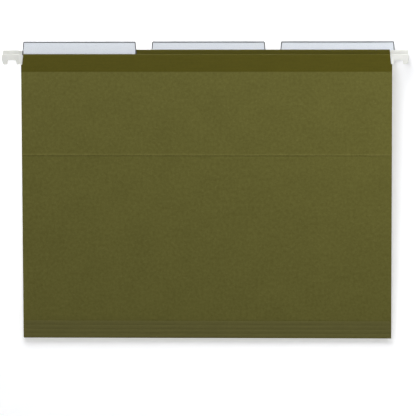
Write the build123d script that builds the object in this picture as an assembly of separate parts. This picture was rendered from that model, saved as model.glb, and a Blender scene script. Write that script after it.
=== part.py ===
from build123d import *
import os
from math import atan2, degrees

# Hanging file folder, letter size: one scored paper sheet hung on two hooked rods, with three tabs.
# Millimetres. +X runs along the width, the front flap faces -Y and +Z is up. The origin is midway
# between the rail seats of the back rod's two hooks, on the middle plane of that rod.

# Sheet
sheet_width = 298.5
sheet_thickness = 0.3
back_height = 233.65       # from the bottom fold to the top of the back flap
front_drop = 3.05          # how much shorter the front flap is than the back flap
mouth_gap = 12.0           # between the inner faces of the flaps, at the front flap's top
score_pitch = 3.5          # between neighbouring scores beside the bottom fold
score_relief = 0.04        # between two stretches of the sheet that turn at a score
strip_scores = 2           # score spacings in each strip beside the fold
lower_scores = 1           # score spacings in the strip at the foot of the front flap
groove_width = 0.6         # of a pressed score or crease
groove_depth = 0.08
crease_height = 149.2      # from the bottom fold to the crease across the front flap

# Hem that wraps the rod
hem_glue = 6.0             # height of the hem that is glued to the panel
hem_jog = 1.5              # height over which the hem closes in below the rod
hem_cut_top = 1.8          # how far the hem's ends are trimmed back at the top
hem_cut_foot = 0.9         # and at the foot of the trimmed part
hem_cut_clearance = 0.1    # of the trimmed part below the hooks' prongs

# Reinforcing tape
tape_thickness = 0.12
top_tape_depth = 14.05     # on the flap's outer face
tape_inner_depth = 5.0     # and on the inner face of the hem
bottom_tape_scores = 4     # score spacings that the bottom tape covers on each flap

# Rods
rod_height = 7.2
rod_thickness = 0.8
rod_clearance = 0.05
tongue_height = 2.6        # thinned end of the rod, which the hook is moulded round
tongue_thickness = 0.4
tongue_clearance = 0.03
tongue_cover = 2.5         # plastic beyond the end of the tongue

# Hooks
rail_overhang = 6.25       # from the sheet's edge to the middle of the rail
notch_width = 6.4
notch_depth = 3.4
notch_radius = 0.5
hook_bar = 4.1             # height of the rod's upper edge above the rail
hook_rise = 0.5            # of the hook above the rod
hook_thickness = 1.6
hook_gap = 1.3             # between each end of the hem and the hook, where the sheet hangs midway
slide_clearance = 0.1      # left of that gap on the right, where the sheet has slid to
outer_prong = 5.0
outer_taper = 1.2          # how much the far side of the outer prong leans in
inner_taper = 0.3          # and that of the inner prong
prong_draft = 0.6          # how much the notch widens towards its mouth
prong_radius = 0.6
shoulder_radius = 0.8
shank_length = 11.0        # of the hook inside the hem

# Tabs and inserts
tab_gap = 11.2             # between the feet of neighbouring tabs
tab_shift = 1.3            # of the whole row of tabs to the right
tab_length = 90.9          # along the top edge
tab_flare = 1.0            # how much longer each end is at the foot
tab_rise = 6.7             # above the back flap
tab_overlap = 5.1          # below the top of the back flap
tab_wall = 0.35
tab_seat = 0.05            # between the tab and the flap that it lies on
tongue_plate_length = 68.0
tongue_plate_margin = 1.6  # of the tab's tongue below its feet
foot_spread = 48.0         # between the two feet of a tab
foot_width = 8.0
foot_height = 1.2
foot_thickness = 0.35
foot_drop = 2.0            # of the turned-down end of a foot
slot_clearance = 0.15
insert_thickness = 0.25
insert_clearance = 0.05    # on each face of the insert
insert_margin = 0.3        # between the insert's ends and the tab's top corners

# Worked out from the sizes above
half_width = sheet_width / 2
hem_radius = sheet_thickness + rod_clearance + rod_thickness / 2
front_height = back_height - front_drop
strip_height = strip_scores * score_pitch
front_hinge_height = strip_height + lower_scores * score_pitch
bottom_tape_height = bottom_tape_scores * score_pitch
outer_face = sheet_thickness + tape_thickness
rod_middle = sheet_thickness - hem_radius
hem_face = sheet_thickness - 2 * hem_radius
rod_foot = hem_radius + rod_height + rod_clearance
glue_top = rod_foot + hem_jog
glue_foot = glue_top + hem_glue
slot_depth = glue_top + hem_glue / 2
seat_depth = hem_radius + hook_bar
hem_cut_depth = seat_depth + notch_depth + hem_cut_clearance
hook_inner = half_width - hem_cut_foot + hook_gap
shank_inner = hook_inner - shank_length
rail_middle = half_width + rail_overhang
notch_inner = rail_middle - notch_width / 2
notch_outer = rail_middle + notch_width / 2
hook_outer = notch_outer + outer_prong
sheet_slide = hook_gap - slide_clearance
tab_pitch = tab_length + 2 * tab_flare + tab_gap
channel_gap = insert_thickness + 2 * insert_clearance
tab_depth = 2 * tab_wall + channel_gap

# A flap is made in its own frame: X along the width, Y out of the folder and Z up from the bottom fold,
# with Y = 0 on the sheet's inner face. The sheet hangs a little to the right on its rods, as in the photo.
fold = Pos(0, -rod_middle, seat_depth - back_height)
tilt = degrees(atan2(mouth_gap, front_height))
back_rod_place = fold
front_rod_place = fold * Rot(X=tilt) * Rot(Z=180)
back_place = Pos(sheet_slide, 0, 0) * back_rod_place
front_place = Pos(sheet_slide, 0, 0) * front_rod_place


def block(x, y, z):
    """A box between the low and high values of x, y and z."""
    middle = [(low + high) / 2 for low, high in (x, y, z)]
    size = [high - low for low, high in (x, y, z)]
    return Pos(*middle) * Box(*size)


def across(face):
    """A section in the flap's Y-Z plane, drawn out over the sheet's width."""
    return extrude(Plane.YZ * face, half_width, both=True)


def plate(outline, low, high):
    """An outline in the flap's X-Z plane, drawn out in Y from low to high."""
    return Pos(0, high, 0) * extrude(Plane.XZ * outline, high - low)


def both_ends(shape):
    """A shape at the right end and its mirror image at the left end."""
    return shape + mirror(shape, Plane.YZ)


def arch(radius, spring):
    """Half a circle over the rod, from the flap's outer side to its inner side."""
    return ThreePointArc(
        (rod_middle + radius, spring), (rod_middle, spring + radius), (rod_middle - radius, spring)
    )


def hem_section(foot, top):
    """The sheet's section from foot to the hem's lower edge, with the channel for the rod."""
    spring = top - hem_radius
    outside = Polyline((sheet_thickness, spring), (sheet_thickness, foot), (0, foot), (0, top - glue_foot))
    glued = Polyline(
        (0, top - glue_foot),
        (-sheet_thickness, top - glue_foot),
        (-sheet_thickness, top - glue_top),
        (hem_face, top - rod_foot),
        (hem_face, spring),
    )
    whole = make_face(outside + glued + arch(hem_radius, spring))
    channel_radius = hem_radius - sheet_thickness
    channel_sides = Polyline(
        (rod_middle - channel_radius, spring),
        (rod_middle - channel_radius, top - rod_foot),
        (0, top - glue_top),
        (0, spring),
    )
    return whole - make_face(channel_sides + arch(channel_radius, spring))


def tape_section(top):
    """The top tape's section: up the flap's outer face, over the fold and down the hem's inner face."""
    spring = top - hem_radius
    inner = hem_face - tape_thickness
    edges = Polyline(
        (outer_face, spring),
        (outer_face, top - top_tape_depth),
        (sheet_thickness, top - top_tape_depth),
        (sheet_thickness, spring),
    )
    inner_end = Polyline(
        (inner, spring),
        (inner, top - tape_inner_depth),
        (hem_face, top - tape_inner_depth),
        (hem_face, spring),
    )
    return make_face(edges + inner_end + arch(hem_radius, spring) + arch(hem_radius + tape_thickness, spring))


def hem_trim(top):
    """What is trimmed off both ends of a hem, so that the hooks stand clear."""
    beyond = half_width + hem_cut_top
    above = top + hem_radius
    lean = (hem_cut_top - hem_cut_foot) / hem_cut_depth
    outline = Polyline(
        (half_width - hem_cut_foot, top - hem_cut_depth),
        (half_width - hem_cut_top - lean * hem_radius, above),
        (beyond, above),
        (beyond, top - hem_cut_depth),
        close=True,
    )
    return both_ends(plate(make_face(outline), hem_face - hem_radius, outer_face + hem_radius))


def groove(height, face):
    """A pressed line across the flap's outer face."""
    outline = Polyline(
        (face - groove_depth, height),
        (face + groove_depth, height + groove_width),
        (face + groove_depth, height - groove_width),
        close=True,
    )
    return across(make_face(outline))


def foot_places(centre):
    """Where along X the two feet of a tab stand."""
    return [centre - foot_spread / 2, centre + foot_spread / 2]


def tab_slots(top):
    """The slots through the back flap's hem for the feet of all the tabs."""
    slots = []
    for centre in tab_centres.values():
        for place in foot_places(centre):
            half_slot = foot_width / 2 + slot_clearance
            half_rise = foot_height / 2 + slot_clearance
            middle = top - slot_depth
            slots.append(
                block(
                    (place - half_slot, place + half_slot),
                    (hem_face, outer_face + hem_radius),
                    (middle - half_rise, middle + half_rise),
                )
            )
    return slots


def flap_panel(foot, top):
    """The main stretch of a flap, from a score up to its hem."""
    return across(hem_section(foot + score_relief / 2, top)) - hem_trim(top)


def top_tape(top):
    """The reinforcing tape along the top of a flap."""
    return across(tape_section(top)) - hem_trim(top)


def between_scores(low, high):
    """The low and high Z of a stretch that ends just short of the scores at both its edges."""
    return (low + score_relief / 2, high - score_relief / 2)


def strip(low, high):
    """A plain stretch of the sheet between two scores."""
    return block((-half_width, half_width), (0, sheet_thickness), between_scores(low, high))


def tape_strip(low, high):
    """A stretch of the bottom tape, on the outer face of the sheet."""
    return block((-half_width, half_width), (sheet_thickness, outer_face), between_scores(low, high))


def tongue(top, grow):
    """The thinned right end of a rod, grown on every side by a clearance."""
    middle = top - hem_radius - hook_bar / 2
    half_height = tongue_height / 2 + grow
    half_thickness = tongue_thickness / 2 + grow
    return block(
        (shank_inner - grow, hook_outer - tongue_cover + grow),
        (rod_middle - half_thickness, rod_middle + half_thickness),
        (middle - half_height, middle + half_height),
    )


def rod(top):
    """A flat steel rod with a tongue at each end."""
    bar = block(
        (-shank_inner, shank_inner),
        (rod_middle - rod_thickness / 2, rod_middle + rod_thickness / 2),
        (top - hem_radius - rod_height, top - hem_radius),
    )
    return bar + both_ends(tongue(top, 0))


def hook_outline(top):
    """The right hook's outline: a bar with two prongs that stand on either side of the rail."""
    crown = top - hem_radius + hook_rise
    seat = top - seat_depth
    tip = seat - notch_depth
    shape = make_face(
        Polyline(
            (hook_inner, crown),
            (hook_outer, crown),
            (hook_outer, seat),
            (hook_outer - outer_taper, tip),
            (notch_outer + prong_draft, tip),
            (notch_outer, seat),
            (notch_inner, seat),
            (notch_inner - prong_draft, tip),
            (hook_inner + inner_taper, tip),
            (hook_inner, seat),
            close=True,
        )
    )
    corners = shape.vertices()
    tips = [corner for corner in corners if abs(corner.Y - tip) < tongue_clearance]
    shape = fillet(tips, prong_radius)
    notch = [
        corner
        for corner in shape.vertices()
        if abs(corner.Y - seat) < tongue_clearance and abs(corner.X - rail_middle) < notch_width
    ]
    shape = fillet(notch, notch_radius)
    shoulder = shape.vertices().sort_by(lambda corner: corner.X + corner.Y)[-1]
    return fillet(shoulder, shoulder_radius)


def hook(top):
    """The right hook: its plate, and a shank that runs into the hem round the rod's tongue."""
    body = plate(hook_outline(top), rod_middle - hook_thickness / 2, rod_middle + hook_thickness / 2)
    shank = block(
        (shank_inner, hook_inner),
        (rod_middle - rod_thickness / 2, rod_middle + rod_thickness / 2),
        (top - hem_radius - rod_height, top - hem_radius),
    )
    return body + shank - tongue(top, tongue_clearance)


def tab_outline(centre, low, high):
    """A tab's outline, a little longer at its foot than along its top."""
    half_top = tab_length / 2
    half_foot = half_top + tab_flare
    return make_face(
        Polyline(
            (centre - half_foot, low),
            (centre + half_foot, low),
            (centre + half_top, high),
            (centre - half_top, high),
            close=True,
        )
    )


def layer(side, face, near, far):
    """The low and high Y of a layer between two distances out from the face that a tab lies on."""
    return sorted((face + side * near, face + side * far))


def tab(centre, side, top):
    """A clear tab on the back flap: a flat sleeve, a tongue below it and two feet through the hem.

    The tab lies on the flap's outer face where side is 1 and on the inner face of the hem where it is -1.
    """
    face = outer_face if side > 0 else hem_face - tape_thickness
    far_face = -sheet_thickness if side > 0 else outer_face
    low = top - tab_overlap
    high = top + tab_rise
    sleeve = plate(tab_outline(centre, low, high), *layer(side, face, tab_seat, tab_seat + tab_depth))
    channel = block(
        (centre - tab_length, centre + tab_length),
        layer(side, face, tab_seat + tab_wall, tab_seat + tab_wall + channel_gap),
        (low + tab_wall, high - tab_wall),
    )
    foot_middle = top - slot_depth
    foot_low = foot_middle - foot_height / 2
    foot_high = foot_middle + foot_height / 2
    tongue_plate = block(
        (centre - tongue_plate_length / 2, centre + tongue_plate_length / 2),
        layer(side, face, tab_seat, tab_seat + tab_wall),
        (foot_low - tongue_plate_margin, low),
    )
    piece = sleeve - channel + tongue_plate
    through = side * (far_face - face)
    for place in foot_places(centre):
        foot_x = (place - foot_width / 2, place + foot_width / 2)
        end = through - tab_seat - foot_thickness
        piece += block(foot_x, layer(side, face, end, tab_seat), (foot_low, foot_high))
        piece += block(
            foot_x, layer(side, face, end, through - tab_seat), (foot_low - foot_drop, foot_high)
        )
    return piece


def insert(centre, side, top):
    """The paper insert in a tab's sleeve."""
    face = outer_face if side > 0 else hem_face - tape_thickness
    near = tab_seat + tab_wall + insert_clearance
    return block(
        (centre - tab_length / 2 + insert_margin, centre + tab_length / 2 - insert_margin),
        layer(side, face, near, near + insert_thickness),
        (top - tab_overlap + tab_wall + insert_clearance, top + tab_rise - tab_wall - insert_clearance),
    )


tab_centres = {
    "left": tab_shift - tab_pitch,
    "centre": tab_shift,
    "right": tab_shift + tab_pitch,
}
tab_sides = {"left": -1, "centre": 1, "right": 1}

nodes = {}

back_panel = flap_panel(strip_height, back_height)
back_top_tape = top_tape(back_height)
for slot in tab_slots(back_height):
    back_panel -= slot
    back_top_tape -= slot
nodes["back_panel"] = back_place * back_panel
nodes["back_top_tape"] = back_place * back_top_tape
nodes["back_bottom_strip"] = back_place * strip(0, strip_height)
nodes["back_bottom_tape"] = back_place * tape_strip(strip_height, bottom_tape_height)

front_panel = flap_panel(front_hinge_height, front_height) - groove(crease_height, sheet_thickness)
nodes["front_panel"] = front_place * front_panel
nodes["front_top_tape"] = front_place * top_tape(front_height)
nodes["front_lower_strip"] = front_place * strip(strip_height, front_hinge_height)
nodes["front_bottom_strip"] = front_place * strip(0, strip_height)
nodes["front_bottom_tape"] = front_place * tape_strip(front_hinge_height, bottom_tape_height)
nodes["front_lower_tape"] = front_place * tape_strip(strip_height, front_hinge_height)

scored_tape = tape_strip(0, strip_height)
for count in range(1, strip_scores):
    scored_tape -= groove(count * score_pitch, outer_face)
nodes["back_strip_tape"] = back_place * scored_tape
nodes["front_strip_tape"] = front_place * scored_tape

# The front flap is turned round, so its right-hand hook in the flap's own frame is the left one.
nodes["back_rod"] = back_rod_place * rod(back_height)
nodes["front_rod"] = front_rod_place * rod(front_height)
nodes["back_right_hook"] = back_rod_place * hook(back_height)
nodes["back_left_hook"] = back_rod_place * mirror(hook(back_height), Plane.YZ)
nodes["front_left_hook"] = front_rod_place * hook(front_height)
nodes["front_right_hook"] = front_rod_place * mirror(hook(front_height), Plane.YZ)

for name, centre in tab_centres.items():
    nodes[f"{name}_tab"] = back_place * tab(centre, tab_sides[name], back_height)
    nodes[f"{name}_insert"] = back_place * insert(centre, tab_sides[name], back_height)

os.makedirs("parts", exist_ok=True)
for name, shape in nodes.items():
    export_step(shape, f"parts/{name}.step")
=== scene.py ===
"""Looks of a letter-size hanging file folder: its scored sheet, tapes, rods, hooks, tabs and inserts.

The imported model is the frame, and nothing of it is moved. Each class is one sub-assembly or one finish.
Lengths are in metres. A flap is built in its own frame, with X along the width, Y out of the folder and
Z up from the bottom fold, where Y = 0 is the sheet's inner face, and is then put in its place.
"""

from __future__ import annotations

import logging
import math
from collections.abc import Callable, Sequence
from dataclasses import dataclass
from enum import Enum
from functools import cache
from itertools import pairwise, product

import bmesh
import bpy
from mathutils import Matrix, Quaternion, Vector
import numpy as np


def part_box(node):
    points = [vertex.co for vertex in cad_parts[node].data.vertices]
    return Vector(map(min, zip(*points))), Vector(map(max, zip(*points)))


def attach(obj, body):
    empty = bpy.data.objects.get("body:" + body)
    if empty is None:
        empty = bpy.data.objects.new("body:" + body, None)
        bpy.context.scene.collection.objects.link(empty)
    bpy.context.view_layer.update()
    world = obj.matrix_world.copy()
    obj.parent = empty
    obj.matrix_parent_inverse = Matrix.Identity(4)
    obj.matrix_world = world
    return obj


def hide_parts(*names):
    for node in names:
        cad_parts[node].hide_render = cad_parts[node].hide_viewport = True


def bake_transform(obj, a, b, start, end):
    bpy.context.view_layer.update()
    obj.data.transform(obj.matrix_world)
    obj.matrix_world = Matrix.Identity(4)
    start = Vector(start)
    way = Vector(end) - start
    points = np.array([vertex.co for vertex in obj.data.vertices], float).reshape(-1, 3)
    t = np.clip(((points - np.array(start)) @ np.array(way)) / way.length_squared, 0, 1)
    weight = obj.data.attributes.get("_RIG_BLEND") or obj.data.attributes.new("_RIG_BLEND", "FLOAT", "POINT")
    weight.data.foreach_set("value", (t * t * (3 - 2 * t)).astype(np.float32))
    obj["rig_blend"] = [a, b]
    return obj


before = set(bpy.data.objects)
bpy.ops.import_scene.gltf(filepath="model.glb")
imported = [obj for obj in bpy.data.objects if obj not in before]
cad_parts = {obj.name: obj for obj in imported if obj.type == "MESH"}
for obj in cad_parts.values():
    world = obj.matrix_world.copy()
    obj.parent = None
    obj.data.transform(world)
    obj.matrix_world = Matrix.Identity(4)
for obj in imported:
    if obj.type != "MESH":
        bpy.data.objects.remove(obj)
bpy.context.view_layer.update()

log = logging.getLogger("folder")

MM = 0.001
LAY = "lay"                # UV map of a strip: across the folder, and along the sheet from its bottom fold
ALONG = "along"            # the second of these, as an attribute of the strip's points
SMOOTH_ANGLE = math.radians(32)
SNAP = 1e-7                # a cut this near to a point goes through it
SIDES = (-1.0, 1.0)
NOISE_BAND = (0.3, 0.7)    # where most values of a noise lie
WIDE_BAND = (0.25, 0.75)

Mesh = bmesh.types.BMesh
Piece = bpy.types.Object
Material = bpy.types.Material
Node = bpy.types.Node
Socket = bpy.types.NodeSocket
Triple = tuple[float, float, float]
Colour = tuple[float, float, float]
Opening = tuple[float, float, float, float]     # low and high X, then low and high height
Test = Callable[[Vector], bool]
Source = Socket | float | Sequence[float]
Sources = dict[str | int, Source]


class Flap(Enum):
    """The folder's two flaps."""

    BACK = "back"
    FRONT = "front"


class End(Enum):
    """The folder's two ends."""

    LEFT = "left"
    RIGHT = "right"


class Seat(Enum):
    """The face of the back flap that a tab lies on, as the sign of the direction that it faces."""

    INSIDE = -1
    OUTSIDE = 1


class Slot(Enum):
    """The record's material slots."""

    PAPER = "folder_paper"
    TAPE = "reinforcing_tape"
    STEEL = "rod_steel"
    HOOK = "hook_plastic"
    CLEAR = "clear_plastic"
    INSERT = "insert_paper"


@dataclass
class SheetSizes:
    """Sizes of the folded sheet and its tape, which the other pieces are fitted to."""

    thickness: float = 0.3 * MM
    tape: float = 0.12 * MM
    back_height: float = 233.65 * MM
    front_drop: float = 3.05 * MM         # how much lower the front flap is
    mouth_gap: float = 12.0 * MM          # between the flaps, at the front one's top
    score_pitch: float = 3.5 * MM
    score_relief: float = 0.04 * MM       # between two solids that turn at a score
    strip_scores: int = 2                 # score spacings in the strip beside the fold
    lower_scores: int = 1                 # from there to the score that the front flap opens at
    tape_scores: int = 4                  # under the bottom tape
    crease_height: float = 149.2 * MM
    rod_height: float = 7.2 * MM
    rod_thickness: float = 0.8 * MM
    rod_clearance: float = 0.05 * MM
    hem_glue: float = 6.0 * MM            # height of the part that is glued to the panel
    hem_jog: float = 1.5 * MM             # height over which the hem closes in below the rod
    hem_cut_top: float = 1.8 * MM         # how far its ends are cut back at the top
    hem_cut_foot: float = 0.9 * MM        # and at the foot of the cut
    hem_cut_depth: float = 8.35 * MM
    top_tape_depth: float = 14.05 * MM
    tape_inner_depth: float = 5.0 * MM    # on the pocket's side

    def __post_init__(self) -> None:
        """Works out places across the sheet, depths below its top and heights above the bottom fold."""
        self.foot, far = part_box("back_bottom_strip")
        self.half_width = (far.x - self.foot.x) / 2
        self.slide = (far.x + self.foot.x) / 2              # to the right on the rods
        self.hem_radius = self.thickness + self.rod_clearance + self.rod_thickness / 2
        self.rod_middle = self.thickness - self.hem_radius
        self.hem_face = self.thickness - 2 * self.hem_radius     # on the pocket's side
        self.outer_face = self.thickness + self.tape
        self.rod_foot = self.hem_radius + self.rod_height + self.rod_clearance
        self.glue_top = self.rod_foot + self.hem_jog
        self.glue_foot = self.glue_top + self.hem_glue
        self.scores = [count * self.score_pitch for count in range(1, self.tape_scores + 1)]
        self.strip_height = self.strip_scores * self.score_pitch
        self.hinge_height = self.strip_height + self.lower_scores * self.score_pitch
        self.tape_height = self.tape_scores * self.score_pitch


def make_piece(name: str, mesh: Mesh, finishes: Sequence[Material]) -> Piece:
    """Makes an object of a finished bmesh, smooth over its gentle edges.

    Args:
        name: Name of the piece.
        mesh: The bmesh, in the folder's frame, which is freed.
        finishes: Materials of the piece's slots.

    Returns:
        The object, at the origin.
    """
    data = bpy.data.meshes.new(name)
    mesh.to_mesh(data)
    mesh.free()
    for finish in finishes:
        data.materials.append(finish)
    data.shade_smooth()
    data.set_sharp_from_angle(angle=SMOOTH_ANGLE)
    piece = bpy.data.objects.new(name, data)
    bpy.context.scene.collection.objects.link(piece)
    return piece


def settle(piece: Piece) -> None:
    """Makes the result of a piece's modifiers its own mesh.

    Args:
        piece: The object.
    """
    graph = bpy.context.evaluated_depsgraph_get()
    settled = bpy.data.meshes.new_from_object(
        piece.evaluated_get(graph), preserve_all_data_layers=True, depsgraph=graph
    )
    worn = piece.data
    piece.modifiers.clear()
    piece.data = settled
    bpy.data.meshes.remove(worn)
    settled.name = piece.name
    settled.set_sharp_from_angle(angle=SMOOTH_ANGLE)


def declare(piece: Piece, body: str | None, replaced: Sequence[str], part: str) -> None:
    """Says what a piece rides on and stands for, and reports it.

    Args:
        piece: The object.
        body: Body that it moves with, or None where it is blended between two.
        replaced: CAD nodes that it stands for.
        part: What the piece is, for the report.
    """
    if body is not None:
        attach(piece, body)
    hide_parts(*replaced)
    log.info("%s: %s, %d faces", piece.name, part, len(piece.data.polygons))


def new_points(made: dict[str, list]) -> list[bmesh.types.BMVert]:
    """Picks the points out of what an extrusion has made."""
    return [item for item in made["geom"] if isinstance(item, bmesh.types.BMVert)]


def add_block(mesh: Mesh, middle: Triple, size: Triple) -> list[bmesh.types.BMVert]:
    """Adds a block to a mesh.

    Args:
        mesh: The bmesh.
        middle: Middle of the block.
        size: Its sizes.

    Returns:
        Its corners.
    """
    corners = bmesh.ops.create_cube(mesh, size=1.0)["verts"]
    bmesh.ops.scale(mesh, vec=size, verts=corners)
    bmesh.ops.translate(mesh, vec=middle, verts=corners)
    return corners


class Strip:
    """A thin strip across the folder: a section line in a flap's own frame, drawn out along X."""

    corner_steps = 4       # facets of a rounded corner
    corner_cut = 8         # radii within which a corner's cuts run on
    corner_clear = 2       # radii within which they take faces away

    def __init__(self, out: float, up: float) -> None:
        """Starts the section line.

        Args:
            out: Distance out of the folder of its first point.
            up: Height of its first point.
        """
        self.mesh = bmesh.new()
        self.along = self.mesh.verts.layers.float.new(ALONG)
        self.tip = self.mesh.verts.new((0.0, out, up))

    def line_to(self, out: float, up: float, spacing: float) -> None:
        """Carries the section line straight on.

        Args:
            out: Distance out of the line's next end.
            up: Height of the line's next end.
            spacing: Most that neighbouring points lie apart.
        """
        start, end = self.tip.co.copy(), Vector((0.0, out, up))
        steps = math.ceil((end - start).length / spacing)
        for step in range(1, steps + 1):
            self.tip = bmesh.ops.extrude_vert_indiv(self.mesh, verts=[self.tip])["verts"][0]
            self.tip.co = start.lerp(end, step / steps)

    def turn(self, out: float, up: float, angle: float, steps: int) -> None:
        """Carries the section line on round an arc.

        Args:
            out: Distance out of the arc's centre.
            up: Height of the arc's centre.
            angle: Turn about +X.
            steps: Number of chords.
        """
        spun = bmesh.ops.spin(
            self.mesh, geom=[self.tip], cent=(0.0, out, up), axis=(1.0, 0.0, 0.0), angle=angle, steps=steps
        )
        self.tip = next(item for item in spun["geom_last"] if isinstance(item, bmesh.types.BMVert))

    def draw_out(self, half_width: float, columns: int, start: float = 0.0) -> None:
        """Draws the section line out along X, to both sides of its plane.

        Args:
            half_width: How far to each side.
            columns: Number of faces across.
            start: Distance along the sheet of the section line's first point.
        """
        line = self.mesh.verts[:]
        line[0][self.along] = start
        for before, point in pairwise(line):
            point[self.along] = before[self.along] + (point.co - before.co).length
        bmesh.ops.translate(self.mesh, verts=line, vec=(-half_width, 0.0, 0.0))
        drawn = bmesh.ops.extrude_edge_only(self.mesh, edges=self.mesh.edges[:])
        bmesh.ops.translate(self.mesh, verts=new_points(drawn), vec=(2 * half_width, 0.0, 0.0))
        rungs = [edge for edge in self.mesh.edges if edge.verts[0].co.x * edge.verts[1].co.x < 0.0]
        bmesh.ops.subdivide_edges(self.mesh, edges=rungs, cuts=columns - 1, use_grid_fill=True)

    def pick(self, test: Test) -> list[bmesh.types.BMFace]:
        """Gives the faces whose middle passes a test."""
        return [face for face in self.mesh.faces if test(face.calc_center_median())]

    def cut(self, place: Sequence[float], direction: Sequence[float], within: Test | None = None) -> None:
        """Adds an edge where a plane crosses the strip.

        Args:
            place: A point of the plane.
            direction: The plane's normal.
            within: Test of the middles of the faces that are cut, or None for all faces.
        """
        faces = self.pick(within) if within else self.mesh.faces[:]
        edges = {edge for face in faces for edge in face.edges}
        points = {point for face in faces for point in face.verts}
        whole = [*points, *edges, *faces]
        bmesh.ops.bisect_plane(self.mesh, geom=whole, dist=SNAP, plane_co=place, plane_no=direction)

    def remove(self, unwanted: Test) -> None:
        """Takes away the faces whose middle passes a test."""
        bmesh.ops.delete(self.mesh, geom=self.pick(unwanted), context="FACES")

    def trim_ends(self, up: float, foot_x: float, top_up: float, top_x: float) -> None:
        """Cuts both ends back to a leaning line, above a height.

        Args:
            up: Height from which the ends are cut.
            foot_x: Where the line starts, at that height.
            top_up: Height of another point of the line.
            top_x: Where that point lies.
        """
        self.cut((0.0, 0.0, up), (0.0, 0.0, 1.0))
        for side in SIDES:
            place = Vector((side * foot_x, 0.0, up))
            lean = Vector((side * (top_up - up), 0.0, foot_x - top_x)).normalized()
            self.cut(place, lean)
            self.remove(lambda m, a=place, n=lean: m.z > up and (m - a).dot(n) > 0.0)

    def round_corner(self, x: float, up: float, radius: float, upwards: bool) -> None:
        """Rounds a corner of the strip's outline off.

        Args:
            x: Where the corner lies along the width.
            up: Height of the corner.
            radius: Radius of the rounding.
            upwards: True for an upper corner.
        """
        side = math.copysign(1.0, x)
        rise = 1.0 if upwards else -1.0
        centre = Vector((x - side * radius, 0.0, up - rise * radius))
        cut_reach, clear_reach = self.corner_cut * radius, self.corner_clear * radius
        for step in range(self.corner_steps):
            angle = math.pi / 2 * (step + 0.5) / self.corner_steps
            out = Vector((side * math.cos(angle), 0.0, rise * math.sin(angle)))
            edge = centre + radius * out
            self.cut(edge, out, lambda m: (m - centre).xz.length < cut_reach)
            self.remove(
                lambda m, e=edge, o=out: (m - e).dot(o) > 0.0 and (m - centre).xz.length < clear_reach
            )

    def dress(self, finish: int, chosen: Test) -> None:
        """Gives another of the piece's finishes to the faces whose middle passes a test."""
        for face in self.pick(chosen):
            face.material_index = finish

    def emboss(self, stand: Callable[[float, float], float], ceiling: float) -> None:
        """Presses a relief, given by place and height, into the strip below a height."""
        for point in (point for point in self.mesh.verts if point.co.z < ceiling):
            point.co.y += stand(point.co.x, point.co.z)

    def finish(self, name: str, place: Matrix, thickness: float, finishes: Sequence[Material]) -> Piece:
        """Puts the strip in its place and gives it its thickness.

        Args:
            name: Name of the piece.
            place: From the strip's own frame to the folder's.
            thickness: Thickness, half to each side of the drawn surface.
            finishes: One material, those of the faces and the cut edge, or those of the outer face, the
                inner face and the cut edge.

        Returns:
            The object, with its modifiers settled.
        """
        mesh = self.mesh
        mesh.normal_update()
        lowest = min(mesh.faces, key=lambda face: face.calc_center_median().z)
        if lowest.normal.y < 0.0:
            bmesh.ops.reverse_faces(mesh, faces=mesh.faces[:])
        layer = mesh.loops.layers.uv.new(LAY)
        along = mesh.verts.layers.float[ALONG]
        for face in mesh.faces:
            for corner in face.loops:
                corner[layer].uv = (corner.vert.co.x, corner.vert[along])
        mesh.transform(place)
        piece = make_piece(name, mesh, finishes)
        wall = piece.modifiers.new("wall", "SOLIDIFY")
        wall.thickness = thickness
        wall.offset = 0.0
        wall.use_even_offset = True
        wall.material_offset = 1 if len(finishes) > 2 else 0
        # the rims take the last finish: the paper's cut edge, or the painted shade of the clear sheet's edge
        wall.material_offset_rim = len(finishes) - 1
        settle(piece)
        return piece


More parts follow.
